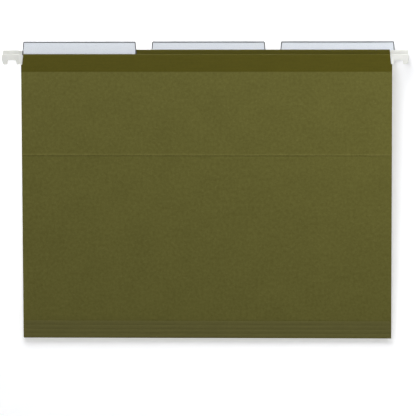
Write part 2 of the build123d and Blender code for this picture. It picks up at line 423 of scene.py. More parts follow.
class Graph:
    """Adds nodes to a material, a world or a node group, and links them."""

    def __init__(self, tree: bpy.types.NodeTree) -> None:
        """Starts on a tree, whose nodes are cleared."""
        self.tree = tree
        tree.nodes.clear()

    def feed(self, node: Node, sources: Sources) -> None:
        """Feeds a node's inputs.

        Args:
            node: The node.
            sources: A socket to link or a plain value for each input, by its name or number.
        """
        for name, source in sources.items():
            if isinstance(source, Socket):
                self.tree.links.new(source, node.inputs[name])
            else:
                node.inputs[name].default_value = source

    def add(self, kind: str, sources: Sources | None = None, **settings: object) -> Node:
        """Adds a node.

        Args:
            kind: The node's type.
            sources: What feeds its inputs.
            settings: Its own settings.

        Returns:
            The node.
        """
        node = self.tree.nodes.new(kind)
        for name, value in settings.items():
            setattr(node, name, value)
        self.feed(node, sources or {})
        return node

    def place(self) -> Socket:
        """Gives Object coordinates."""
        return self.add("ShaderNodeTexCoord").outputs["Object"]

    def lay(self) -> Socket:
        """Gives the place on a strip, from its own UV map."""
        return self.add("ShaderNodeUVMap", uv_map=LAY).outputs["UV"]

    def part(self, vector: Source, axis: int) -> Socket:
        """Gives one part of a vector."""
        return self.add("ShaderNodeSeparateXYZ", {0: vector}).outputs[axis]

    def noise(self, vector: Source, scale: float, detail: float, output: str = "Fac") -> Socket:
        """Gives a noise, whose values are mostly between 0 and 1."""
        sources = {"Vector": vector, "Scale": scale, "Detail": detail}
        return self.add("ShaderNodeTexNoise", sources).outputs[output]

    def vectors(self, operation: str, *values: Source) -> Socket:
        """Calculates with two or three vectors."""
        return self.add("ShaderNodeVectorMath", dict(enumerate(values)), operation=operation).outputs[0]

    def maths(self, operation: str, *values: Source) -> Socket:
        """Calculates with one to three values."""
        return self.add("ShaderNodeMath", dict(enumerate(values)), operation=operation).outputs[0]

    def weigh(self, first: Source, second: Source, share: float) -> Socket:
        """Adds a share of one value to the rest of another."""
        return self.maths("MULTIPLY_ADD", first, share, self.maths("MULTIPLY", second, 1.0 - share))

    def span(self, value: Source, start: float, end: float, low: float = 0.0, high: float = 1.0) -> Socket:
        """Maps a value from one span to another, and keeps it there."""
        sources = {"Value": value, "From Min": start, "From Max": end, "To Min": low, "To Max": high}
        return self.add("ShaderNodeMapRange", sources, clamp=True).outputs["Result"]

    def mix(self, share: Source, first: Source, second: Source) -> Socket:
        """Mixes two colours."""
        first, second = ((*c, 1.0) if isinstance(c, tuple) else c for c in (first, second))
        return self.add("ShaderNodeMix", {0: share, 6: first, 7: second}, data_type="RGBA").outputs[2]


class Effect(Graph):
    """A node group that several finishes use."""

    def __init__(self, name: str, inputs: Sequence[str], outputs: Sequence[str]) -> None:
        """Starts the group.

        Args:
            name: Name of the group.
            inputs: Names of its inputs, of which Vector is a vector and the rest are values.
            outputs: Names of its outputs, all values.
        """
        super().__init__(bpy.data.node_groups.new(name, "ShaderNodeTree"))
        sockets = [(label, "INPUT") for label in inputs] + [(label, "OUTPUT") for label in outputs]
        for label, side in sockets:
            kind = "NodeSocketVector" if label == "Vector" else "NodeSocketFloat"
            self.tree.interface.new_socket(label, in_out=side, socket_type=kind)
        self.given = self.add("NodeGroupInput").outputs
        self.result = self.add("NodeGroupOutput")


@cache
def paper_fibres() -> bpy.types.NodeTree:
    """Builds the paper's structure: fine matted fibres, cloudy mottle and stray flecks.

    Returns:
        The group, whose Scale is in fibres a metre.
    """
    effect = Effect("paper_fibres", ["Vector", "Scale"], ["Fibre", "Mottle", "Fleck"])
    curl, fleck_way = (1.6, 1.6, 1.6), (0.6, 1.0, 1.0)
    laid_way, crossed_way = (0.45, 1.0, 1.0), (1.0, 0.5, 0.7)
    cloud_share = 0.45
    scaled = effect.vectors("MULTIPLY", effect.given["Vector"], effect.given["Scale"])
    drift = effect.noise(scaled, scale=0.35, detail=2.0, output="Color")
    curled = effect.vectors("MULTIPLY_ADD", drift, curl, scaled)
    laid = effect.noise(effect.vectors("MULTIPLY", curled, laid_way), scale=1.0, detail=4.0)
    crossed = effect.noise(effect.vectors("MULTIPLY", curled, crossed_way), scale=0.9, detail=3.0)
    coarse = effect.noise(scaled, scale=0.26, detail=2.0)
    cloud = effect.noise(scaled, scale=0.03, detail=3.0)
    stray = effect.noise(effect.vectors("MULTIPLY", curled, fleck_way), scale=0.42, detail=1.0)
    fibre = effect.maths("ADD", laid, crossed)
    mottle = effect.maths("MULTIPLY_ADD", cloud, cloud_share, coarse)
    effect.feed(effect.result, {
        "Fibre": effect.span(fibre, start=0.7, end=1.3),
        "Mottle": effect.span(mottle, start=0.475, end=0.975),
        "Fleck": effect.span(stray, start=0.68, end=0.76),
    })
    return effect.tree


@cache
def rubbed_ends() -> bpy.types.NodeTree:
    """Builds the rubbing of a strip's two ends, strongest at the cut edge and uneven along it.

    Returns:
        The group, which reads a place across the strip from its vector's X.
    """
    effect = Effect("rubbed_ends", ["Vector", "Half Width", "Reach"], ["Mask"])
    off = effect.maths("ABSOLUTE", effect.part(effect.given["Vector"], 0))
    inward = effect.maths("SUBTRACT", effect.given["Half Width"], off)
    near = effect.span(effect.maths("DIVIDE", inward, effect.given["Reach"]), start=1.0, end=0.0)
    patchy = effect.noise(effect.given["Vector"], scale=260.0, detail=4.0)
    uneven = effect.span(patchy, start=0.35, end=0.7)
    mask = effect.maths("MULTIPLY", effect.maths("POWER", near, 2.0), uneven)
    effect.feed(effect.result, {"Mask": mask})
    return effect.tree


@cache
def plastic_skin() -> bpy.types.NodeTree:
    """Builds the surface of moulded or rolled plastic: a fine skin, and faint scuffs along X.

    Returns:
        The group, whose Scale is in grains a metre.
    """
    effect = Effect("plastic_skin", ["Vector", "Scale"], ["Skin", "Scuff"])
    scuff_way = (0.04, 0.9, 0.9)
    scaled = effect.vectors("MULTIPLY", effect.given["Vector"], effect.given["Scale"])
    streak = effect.noise(effect.vectors("MULTIPLY", scaled, scuff_way), scale=1.0, detail=3.0)
    patch = effect.span(effect.noise(scaled, scale=0.05, detail=2.0), start=0.45, end=0.65)
    scuff = effect.maths("MULTIPLY", effect.span(streak, start=0.55, end=0.75), patch)
    effect.feed(effect.result, {"Skin": effect.noise(scaled, scale=1.0, detail=2.0), "Scuff": scuff})
    return effect.tree


class Surface(Graph):
    """A material's graph, with its shader and its output."""

    def __init__(self, name: str) -> None:
        """Starts a material.

        Args:
            name: Name of the material.
        """
        self.material = bpy.data.materials.new(name)
        self.material.use_nodes = True
        super().__init__(self.material.node_tree)
        self.shader = self.add("ShaderNodeBsdfPrincipled")
        self.output = self.add("ShaderNodeOutputMaterial", {"Surface": self.shader.outputs["BSDF"]})

    def effect(self, group: bpy.types.NodeTree, sources: Sources) -> bpy.types.NodeOutputs:
        """Places a shared effect with its own values."""
        return self.add("ShaderNodeGroup", sources, node_tree=group).outputs

    def skin(self, scale: float) -> bpy.types.NodeOutputs:
        """Places the skin of plastic."""
        return self.effect(plastic_skin(), {"Vector": self.place(), "Scale": scale})

    def rub(self, lay: Socket, half_width: float, reach: float) -> Socket:
        """Places the rubbing of a strip's ends."""
        sources = {"Vector": lay, "Half Width": half_width, "Reach": reach}
        return self.effect(rubbed_ends(), sources)["Mask"]

    def press(self, height: Socket, strength: float, distance: float) -> None:
        """Bumps the surface by a height."""
        bump = self.add("ShaderNodeBump", {"Height": height, "Strength": strength, "Distance": distance})
        self.feed(self.shader, {"Normal": bump.outputs["Normal"]})

    def shade(self, colour: Socket, roughness: Socket, **constants: Source) -> Material:
        """Feeds the shader.

        Args:
            colour: Its base colour.
            roughness: Its roughness.
            constants: Its other inputs, with _ for the spaces in their names.

        Returns:
            The material.
        """
        self.feed(self.shader, {"Base Color": colour, "Roughness": roughness})
        self.feed(self.shader, {name.replace("_", " "): value for name, value in constants.items()})
        return self.material


@dataclass(frozen=True)
class PaperFinish:
    """Uncoated paper: fibres, mottle, flecks, and colour rubbed off along its ends and folds."""

    name: str
    light: Colour
    dark: Colour
    fleck: Colour
    rubbed: Colour
    half_width: float
    fibre_scale: float = 1500.0
    fibre_share: float = 0.4
    fleck_share: float = 0.35
    rub_reach: float = 0.8 * MM
    folds: Sequence[float] = ()
    fold_reach: float = 0.45 * MM
    fold_wear: float = 0.4
    roughness: tuple[float, float] = (0.9, 0.74)
    gloss: float = 0.12
    relief: float = 0.05 * MM
    relief_strength: float = 0.35

    def make(self) -> Material:
        """Builds the material.

        Returns:
            The material, which reads the strip's own UV map.
        """
        surface = Surface(self.name)
        lay = surface.lay()
        paper = surface.effect(paper_fibres(), {"Vector": lay, "Scale": self.fibre_scale})
        tone = surface.weigh(paper["Fibre"], paper["Mottle"], self.fibre_share)
        flecks = surface.maths("MULTIPLY", paper["Fleck"], self.fleck_share)
        colour = surface.mix(flecks, surface.mix(tone, self.dark, self.light), self.fleck)
        worn = surface.rub(lay, self.half_width, self.rub_reach)
        if self.folds:
            along = surface.part(lay, 1)
            broken = surface.span(paper["Fibre"], start=0.25, end=0.9, high=self.fold_wear)
            for fold in self.folds:
                off = surface.maths("ABSOLUTE", surface.maths("SUBTRACT", along, fold))
                line = surface.maths("MULTIPLY", surface.span(off, self.fold_reach, 0.0), broken)
                worn = surface.maths("MAXIMUM", worn, line)
        colour = surface.mix(worn, colour, self.rubbed)
        surface.press(tone, self.relief_strength, self.relief)
        rough = surface.span(tone, 0.0, 1.0, *self.roughness)
        return surface.shade(colour, rough, Specular_IOR_Level=self.gloss)


@dataclass(frozen=True)
class TapeFinish:
    """Reinforcing tape: a smooth dark film over cloth-like ribs, slightly satin."""

    name: str
    light: Colour
    dark: Colour
    rubbed: Colour
    half_width: float
    rib_scale: float = 900.0
    rib_way: Triple = (0.06, 1.0, 1.0)
    film_scale: float = 1800.0
    film_share: float = 0.5
    rub_reach: float = 0.7 * MM
    roughness: tuple[float, float] = (0.5, 0.66)
    gloss: float = 0.1
    relief: float = 0.03 * MM
    relief_strength: float = 0.3

    def make(self) -> Material:
        """Builds the material.

        Returns:
            The material, which reads the strip's own UV map.
        """
        surface = Surface(self.name)
        lay = surface.lay()
        ribs = surface.noise(surface.vectors("MULTIPLY", lay, self.rib_way), self.rib_scale, detail=3.0)
        film = surface.effect(paper_fibres(), {"Vector": lay, "Scale": self.film_scale})
        tone = surface.weigh(film["Mottle"], surface.span(ribs, *WIDE_BAND), self.film_share)
        worn = surface.rub(lay, self.half_width, self.rub_reach)
        colour = surface.mix(worn, surface.mix(tone, self.dark, self.light), self.rubbed)
        surface.press(tone, self.relief_strength, self.relief)
        rough = surface.span(tone, *WIDE_BAND, *self.roughness)
        return surface.shade(colour, rough, Specular_IOR_Level=self.gloss)


@dataclass(frozen=True)
class SteelFinish:
    """Cold-rolled steel strip: fine lines along the rod, a few dull spots."""

    name: str = "rolled_steel"
    light: Colour = (0.60, 0.60, 0.585)
    dark: Colour = (0.46, 0.455, 0.44)
    line_scale: float = 5200.0
    line_way: Triple = (0.015, 1.0, 1.0)
    spot_scale: float = 240.0
    roughness: tuple[float, float] = (0.42, 0.26)
    relief: float = 0.01 * MM
    relief_strength: float = 0.3

    def make(self) -> Material:
        """Builds the material.

        Returns:
            The material, which reads Object coordinates.
        """
        surface = Surface(self.name)
        place = surface.place()
        drawn = surface.vectors("MULTIPLY", place, self.line_way)
        lines = surface.noise(drawn, self.line_scale, detail=3.0)
        spots = surface.noise(place, self.spot_scale, detail=3.0)
        spots = surface.span(spots, start=0.3, end=0.6, low=0.6)
        tone = surface.maths("MULTIPLY", surface.span(lines, *NOISE_BAND), spots)
        surface.press(lines, self.relief_strength, self.relief)
        rough = surface.span(tone, 0.0, 1.0, *self.roughness)
        return surface.shade(surface.mix(tone, self.dark, self.light), rough, Metallic=1.0)


@dataclass(frozen=True)
class HookFinish:
    """Off-white moulded nylon, a little translucent, with a fine skin and scuffs from the rails."""

    name: str = "hook_nylon"
    light: Colour = (0.80, 0.805, 0.77)
    dark: Colour = (0.75, 0.755, 0.72)
    scuffed: Colour = (0.68, 0.68, 0.655)
    scuff_share: float = 0.4
    skin_scale: float = 3200.0
    cloud_scale: float = 200.0
    roughness: tuple[float, float] = (0.36, 0.5)
    gloss: float = 0.25
    scatter: float = 0.25
    scatter_reach: float = 0.5 * MM
    scatter_tint: Colour = (1.0, 0.95, 0.8)
    relief: float = 0.02 * MM
    relief_strength: float = 0.25

    def make(self) -> Material:
        """Builds the material.

        Returns:
            The material, which reads Object coordinates.
        """
        surface = Surface(self.name)
        skin = surface.skin(self.skin_scale)
        cloud = surface.noise(surface.place(), self.cloud_scale, detail=2.0)
        cloud = surface.span(cloud, start=0.35, end=0.65)
        scuff = surface.maths("MULTIPLY", skin["Scuff"], self.scuff_share)
        colour = surface.mix(scuff, surface.mix(cloud, self.dark, self.light), self.scuffed)
        surface.press(skin["Skin"], self.relief_strength, self.relief)
        rough = surface.span(skin["Skin"], *NOISE_BAND, *self.roughness)
        return surface.shade(
            colour, rough, Specular_IOR_Level=self.gloss, Subsurface_Weight=self.scatter,
            Subsurface_Radius=self.scatter_tint, Subsurface_Scale=self.scatter_reach,
        )


@dataclass(frozen=True)
class ClearFinish:
    """Clear plastic sheet: glossy, faintly hazed and scuffed, and open to light that falls through it."""

    name: str = "clear_sheet"
    tint: Colour = (0.985, 0.988, 0.992)
    hazed: Colour = (0.93, 0.94, 0.95)
    skin_scale: float = 1800.0
    index: float = 1.46
    roughness: tuple[float, float] = (0.03, 0.1)
    relief: float = 0.008 * MM
    relief_strength: float = 0.15

    def make(self) -> Material:
        """Builds the material.

        Returns:
            The material, which reads Object coordinates.
        """
        surface = Surface(self.name)
        skin = surface.skin(self.skin_scale)
        surface.press(skin["Skin"], self.relief_strength, self.relief)
        rays = surface.add("ShaderNodeLightPath").outputs
        lighting = surface.maths("MAXIMUM", rays["Is Shadow Ray"], rays["Is Diffuse Ray"])
        passing = surface.add("ShaderNodeBsdfTransparent", {"Color": (*self.tint, 1.0)}).outputs["BSDF"]
        sources = {0: lighting, 1: surface.shader.outputs["BSDF"], 2: passing}
        either = surface.add("ShaderNodeMixShader", sources)
        surface.feed(surface.output, {"Surface": either.outputs["Shader"]})
        rough = surface.span(skin["Scuff"], 0.0, 1.0, *self.roughness)
        colour = surface.mix(skin["Scuff"], self.tint, self.hazed)
        return surface.shade(colour, rough, Transmission_Weight=1.0, IOR=self.index)


@dataclass(frozen=True)
class ClearEdgePaintedShade:
    """Painted shade on the cut or folded edge of the clear sheet: a grey colour that stands in for the light
    that leaves the edge elsewhere.
    """

    name: str = "clear_edge_painted_shade"
    # painted shade: these greys stand in for the darkening that light leaving the sheet's edge would give
    light: Colour = (0.10, 0.103, 0.111)
    dark: Colour = (0.06, 0.062, 0.068)
    skin_scale: float = 2400.0
    roughness: tuple[float, float] = (0.18, 0.34)
    gloss: float = 0.1

    def make(self) -> Material:
        """Builds the material.

        Returns:
            The material, which reads Object coordinates.
        """
        surface = Surface(self.name)
        tone = surface.span(surface.skin(self.skin_scale)["Skin"], *NOISE_BAND)
        colour = surface.mix(tone, self.dark, self.light)
        rough = surface.span(tone, 0.0, 1.0, *self.roughness)
        return surface.shade(colour, rough, Specular_IOR_Level=self.gloss)


@dataclass
class FlapSheet:
    """One flap of the folder's sheet, with its hem and its half of the bottom fold."""

    flap: Flap
    sizes: SheetSizes
    finishes: Sequence[Material]      # of the outer face, the inner face and the cut edge
    slots: Sequence[Opening] = ()
    columns: int = 48
    coarse: float = 6.0 * MM              # spacing of the section line's points in the panel
    fine: float = 0.2 * MM                # at the scores and the crease
    hem_spacing: float = 1.0 * MM         # in the hem
    margin: float = 1.0 * MM              # past the tape, where the fine spacing ends
    crease_zone: float = 2.4 * MM         # to each side of the crease
    hem_steps: int = 12
    fold_steps: int = 6
    fold_ease: float = 0.01 * MM          # past the middle of the fold, so that the strips meet
    bend: float = 0.9 * MM                # to each side of the score that the flap opens at
    strip_bend: float = 1.2 * MM          # below the score that the strip turns at
    score_depth: float = 0.17 * MM
    score_reach: float = 0.75 * MM
    crease_rise: float = 0.36 * MM
    crease_reach: float = 0.75 * MM
    bow: float = 0.35 * MM
    bow_turn: float = 1.4                 # radians from the middle to an end
    bow_start: float = 0.5
    ripple: float = 0.12 * MM
    ripple_turn: float = 5.2
    ripple_drift: float = 4.0

    def __post_init__(self) -> None:
        """Works out the flap's heights above the bottom fold, and its place in the folder."""
        sizes = self.sizes
        self.name = self.flap.value
        self.top = sizes.back_height
        foot = sizes.foot.z - sizes.score_relief / 2
        self.place = Matrix.Translation((sizes.slide, sizes.foot.y, foot))
        if self.flap is Flap.FRONT:
            self.top -= sizes.front_drop
            tilt = Matrix.Rotation(math.atan2(sizes.mouth_gap, self.top), 4, "X")
            self.place = self.place @ tilt @ Matrix.Rotation(math.pi, 4, "Z")
        self.spring = self.top - sizes.hem_radius
        self.hem_foot = self.top - sizes.glue_foot

    def stand(self, x: float, up: float) -> float:
        """Gives how far the paper stands out of its flat place, by its scores, its crease and its bow.

        Args:
            x: Place along the width.
            up: Height above the bottom fold.

        Returns:
            The distance, positive out of the folder.
        """
        sizes, stand = self.sizes, 0.0
        for score in sizes.scores:
            stand -= self.score_depth * math.exp(-(((up - score) / self.score_reach) ** 2))
        if self.flap is Flap.FRONT:
            stand += self.crease_rise * math.exp(-(((up - sizes.crease_height) / self.crease_reach) ** 2))
        share = (up - sizes.tape_height) / (self.hem_foot - sizes.tape_height)
        if 0.0 < share < 1.0:
            ease = math.sin(math.pi * share) ** 2
            across = x / sizes.half_width
            stand += ease * self.bow * math.cos(self.bow_turn * across + self.bow_start)
            stand += ease * self.ripple * math.sin(self.ripple_turn * across + self.ripple_drift * share)
        return stand

    def build(self) -> None:
        """Builds the flap, from its lowest turning score to its hem, and the strip below that score."""
        sizes = self.sizes
        middle = sizes.thickness / 2
        strip = Strip(middle, sizes.strip_height)
        strip.line_to(middle, sizes.tape_height + self.margin, self.fine)
        if self.flap is Flap.FRONT:
            strip.line_to(middle, sizes.crease_height - self.crease_zone, self.coarse)
            strip.line_to(middle, sizes.crease_height + self.crease_zone, self.fine)
        strip.line_to(middle, self.hem_foot, self.coarse)
        strip.line_to(middle, self.spring, self.hem_spacing)
        strip.turn(sizes.rod_middle, self.spring, math.pi, self.hem_steps)
        strip.line_to(sizes.hem_face + middle, self.top - sizes.rod_foot, self.hem_spacing)
        strip.line_to(-middle, self.top - sizes.glue_top, self.fine)
        strip.line_to(-middle, self.hem_foot, self.hem_spacing)
        strip.draw_out(sizes.half_width, self.columns, sizes.strip_height)
        self.cut_hem(strip)
        strip.emboss(self.stand, self.hem_foot)
        piece = strip.finish(f"{self.name}_sheet", self.place, sizes.thickness, self.finishes)
        self.mount(piece, Slot.PAPER, ["panel", "lower_strip"], "flap with its hem")
        self.build_strip("strip_sheet", middle, sizes.thickness, self.finishes, Slot.PAPER, "bottom_strip")

    def build_strip(
        self, name: str, middle: float, thickness: float, finishes: Sequence[Material], slot: Slot,
        node: str,
    ) -> None:
        """Builds a layer of the strip between the bottom fold and the lowest turning score.

        Args:
            name: Name of the piece, after the flap's.
            middle: Where the layer's middle lies, out from the sheet's inner face.
            thickness: Thickness of the layer.
            finishes: Its materials.
            slot: Record's slot that they come from; not used.
            node: CAD node that it stands for, after the flap's name.
        """
        sizes = self.sizes
        rise = sizes.thickness + self.fold_ease
        strip = Strip(-self.fold_ease, rise - middle - self.fold_ease)
        strip.turn(-self.fold_ease, rise, math.pi / 2, self.fold_steps)
        strip.line_to(middle, sizes.strip_height, self.fine)
        strip.draw_out(sizes.half_width, self.columns)
        strip.emboss(self.stand, sizes.strip_height + self.margin)
        piece = strip.finish(f"{self.name}_{name}", self.place, thickness, finishes)
        above = "back" if self.flap is Flap.BACK else "front_foot"
        bend_foot = sizes.strip_height - self.strip_bend
        self.blend(piece, (above, f"{self.name}_strip"), (sizes.strip_height, bend_foot))
        declare(piece, None, [f"{self.name}_{node}"], "layer of the strip beside the bottom fold")

    def mount(self, piece: Piece, slot: Slot, nodes: Sequence[str], part: str) -> None:
        """Lets a piece ride on the flap. On the front one it bends at the score that the flap opens at.

        Args:
            piece: The piece.
            slot: Record's slot that its finish comes from; not used.
            nodes: CAD nodes that it stands for, after the flap's name, the second on the front flap only.
            part: What the piece is, for the report.
        """
        names = [f"{self.name}_{node}" for node in nodes]
        if self.flap is Flap.BACK:
            declare(piece, self.name, names[:1], part)
        else:
            hinge = self.sizes.hinge_height
            self.blend(piece, ("front_foot", "front"), (hinge - self.bend, hinge + self.bend))
            declare(piece, None, names, part)

    def blend(self, piece: Piece, bodies: tuple[str, str], heights: tuple[float, float]) -> None:
        """Lets a piece go over from one body to another, between two heights on the flap's inner face."""
        start, end = (self.place @ Vector((0.0, 0.0, height)) for height in heights)
        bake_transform(piece, *bodies, start=start, end=end)

    def cut_hem(self, strip: Strip) -> None:
        """Cuts the ends of a hem back, so that the hooks stand clear, and opens the slots for the tabs.

        Args:
            strip: The sheet or the tape.
        """
        sizes = self.sizes
        foot_x, top_x = sizes.half_width - sizes.hem_cut_foot, sizes.half_width - sizes.hem_cut_top
        strip.trim_ends(self.top - sizes.hem_cut_depth, foot_x, self.top, top_x)
        for height in sorted({height for slot in self.slots for height in slot[2:]}):
            strip.cut((0.0, 0.0, height), (0.0, 0.0, 1.0))
        for left, right, low, high in self.slots:
            for edge in (left, right):
                strip.cut((edge, 0.0, 0.0), (1.0, 0.0, 0.0))
            strip.remove(lambda m, a=left, b=right, c=low, d=high: a < m.x < b and c < m.z < d)


@dataclass
class FlapTape:
    """The tape on one flap: over its top edge, and on its half of the bottom fold."""

    sheet: FlapSheet
    top_finish: Material
    bottom_finish: Material

    def build(self) -> None:
        """Builds the tape over the hem, that at the flap's foot and that on the strip beside the fold."""
        sheet, sizes = self.sheet, self.sheet.sizes
        middle = sizes.thickness + sizes.tape / 2
        low = sheet.top - sizes.top_tape_depth
        strip = Strip(middle, low)
        strip.line_to(middle, sheet.spring, sheet.hem_spacing)
        strip.turn(sizes.rod_middle, sheet.spring, math.pi, sheet.hem_steps)
        inner_edge = sheet.top - sizes.tape_inner_depth
        strip.line_to(sizes.hem_face - sizes.tape / 2, inner_edge, sheet.hem_spacing)
        strip.draw_out(sizes.half_width, sheet.columns, low)
        sheet.cut_hem(strip)
        piece = strip.finish(f"{sheet.name}_top_band", sheet.place, sizes.tape, [self.top_finish])
        declare(piece, sheet.name, [f"{sheet.name}_top_tape"], "tape over the hem")
        strip = Strip(middle, sizes.strip_height)
        strip.line_to(middle, sizes.tape_height, sheet.fine)
        strip.draw_out(sizes.half_width, sheet.columns, sizes.strip_height)
        strip.emboss(sheet.stand, sizes.tape_height + sheet.margin)
        piece = strip.finish(f"{sheet.name}_foot_band", sheet.place, sizes.tape, [self.bottom_finish])
        sheet.mount(piece, Slot.TAPE, ["bottom_tape", "lower_tape"], "tape at the flap's foot")
        sheet.build_strip("strip_band", middle, sizes.tape, [self.bottom_finish], Slot.TAPE, "strip_tape")


@dataclass
class HangingRods:
    """The two steel rods in the hems, whose CAD shapes are kept."""

    finish: Material

    def dress(self) -> None:
        """Gives the rods their finish."""
        for flap in Flap:
            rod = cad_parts[f"{flap.value}_rod"]
            rod.data.materials.clear()
            rod.data.materials.append(self.finish)
            log.info("%s: steel rod in the hem", rod.name)


@dataclass
class RailHooks:
    """The two moulded hooks of a flap, each a bar with two prongs that stand on either side of a rail."""

    sheet: FlapSheet
    finish: Material
    rail_overhang: float = 6.25 * MM      # from the sheet's end to the middle of the rail
    notch_width: float = 6.4 * MM
    notch_depth: float = 3.4 * MM
    notch_radius: float = 0.8 * MM
    bar: float = 4.1 * MM                 # from the shank's top down to the notch
    rise: float = 0.5 * MM                # of the plate above the shank
    thickness: float = 1.6 * MM
    gap: float = 1.3 * MM                 # between the hem's end and the plate
    outer_prong: float = 5.0 * MM
    outer_taper: float = 1.2 * MM         # how much the outer prong leans in
    inner_taper: float = 0.3 * MM         # and the inner one
    draft: float = 0.6 * MM               # how much the notch widens to each side
    tip_radius: float = 0.7 * MM
    shoulder_radius: float = 0.8 * MM
    shank_length: float = 11.0 * MM
    neck: float = 0.3 * MM                # of the shank inside the plate
    rounding: float = 0.28 * MM
    corner_steps: int = 5
    rounding_steps: int = 3
    shank_steps: int = 2

    def build(self) -> None:
        """Builds the hooks at both ends of the rod."""
        for end in End:
            self.build_hook(end)

    def build_hook(self, end: End) -> None:
        """Builds one hook.

        Args:
            end: The end of the folder.
        """
        sheet, sizes = self.sheet, self.sheet.sizes
        inner = sizes.half_width - sizes.hem_cut_foot + self.gap
        mesh = bmesh.new()
        self.draw_plate(mesh, inner)
        length = self.shank_length + self.neck
        middle = (inner + self.neck - length / 2, sizes.rod_middle, sheet.spring - sizes.rod_height / 2)
        shank = add_block(mesh, middle, (length, sizes.rod_thickness, sizes.rod_height))
        edges = {edge for point in shank for edge in point.link_edges}
        self.round_off(mesh, list(edges), self.rounding / 2, self.shank_steps)
        if (end is End.LEFT) != (sheet.flap is Flap.FRONT):
            bmesh.ops.scale(mesh, vec=(-1.0, 1.0, 1.0), verts=mesh.verts)
        bmesh.ops.recalc_face_normals(mesh, faces=mesh.faces[:])
        mesh.transform(Matrix.Translation((-sizes.slide, 0.0, 0.0)) @ sheet.place)
        name = f"{sheet.name}_{end.value}"
        piece = make_piece(f"{name}_rail_hook", mesh, [self.finish])
        piece.modifiers.new("even_shading", "WEIGHTED_NORMAL").keep_sharp = True
        settle(piece)
        declare(piece, sheet.name, [f"{name}_hook"], "hook on the rod's end")

    def draw_plate(self, mesh: Mesh, inner: float) -> None:
        """Draws a right-hand hook's plate, with its corners and its edges rounded.

        Args:
            mesh: The bmesh to draw in.
            inner: Where the plate starts along the width.
        """
        near = self.sheet.sizes.rod_middle - self.thickness / 2
        crown, saddle = self.sheet.spring + self.rise, self.sheet.spring - self.bar
        tip = saddle - self.notch_depth
        rail = self.sheet.sizes.half_width + self.rail_overhang
        left, right = rail - self.notch_width / 2, rail + self.notch_width / 2
        outer = right + self.outer_prong
        corners = [
            (inner, crown, self.tip_radius),
            (outer, crown, self.shoulder_radius),
            (outer, saddle, self.outer_taper),
            (outer - self.outer_taper, tip, self.tip_radius),
            (right + self.draft, tip, self.tip_radius),
            (right, saddle, self.notch_radius),
            (left, saddle, self.notch_radius),
            (left - self.draft, tip, self.tip_radius),
            (inner + self.inner_taper, tip, self.tip_radius),
            (inner, saddle, self.inner_taper),
        ]
        points = [mesh.verts.new((x, near, up)) for x, up, _ in corners]
        mesh.faces.new(points)
        for point, (_, _, radius) in zip(points, corners):
            self.round_off(mesh, [point], radius, self.corner_steps)
        grown = bmesh.ops.extrude_face_region(mesh, geom=mesh.faces[:])
        bmesh.ops.translate(mesh, verts=new_points(grown), vec=(0.0, self.thickness, 0.0))
        bmesh.ops.recalc_face_normals(mesh, faces=mesh.faces[:])
        faces = {face for face in mesh.faces if abs(face.normal.y) > face.normal.xz.length}
        rims = [edge for edge in mesh.edges if len(faces.intersection(edge.link_faces)) == 1]
        self.round_off(mesh, rims, self.rounding, self.rounding_steps)

    @staticmethod
    def round_off(mesh: Mesh, parts: Sequence, radius: float, steps: int) -> None:
        """Rounds a corner of an outline, or edges of a solid.

        Args:
            mesh: The hook.
            parts: The corner's point, or the edges.
            radius: Radius of the rounding.
            steps: Number of facets.
        """
        affect = "VERTICES" if isinstance(parts[0], bmesh.types.BMVert) else "EDGES"
        bmesh.ops.bevel(
            mesh, geom=parts, offset=radius, offset_type="OFFSET", segments=steps, profile=0.5,
            affect=affect, material=-1, clamp_overlap=affect == "EDGES",
        )


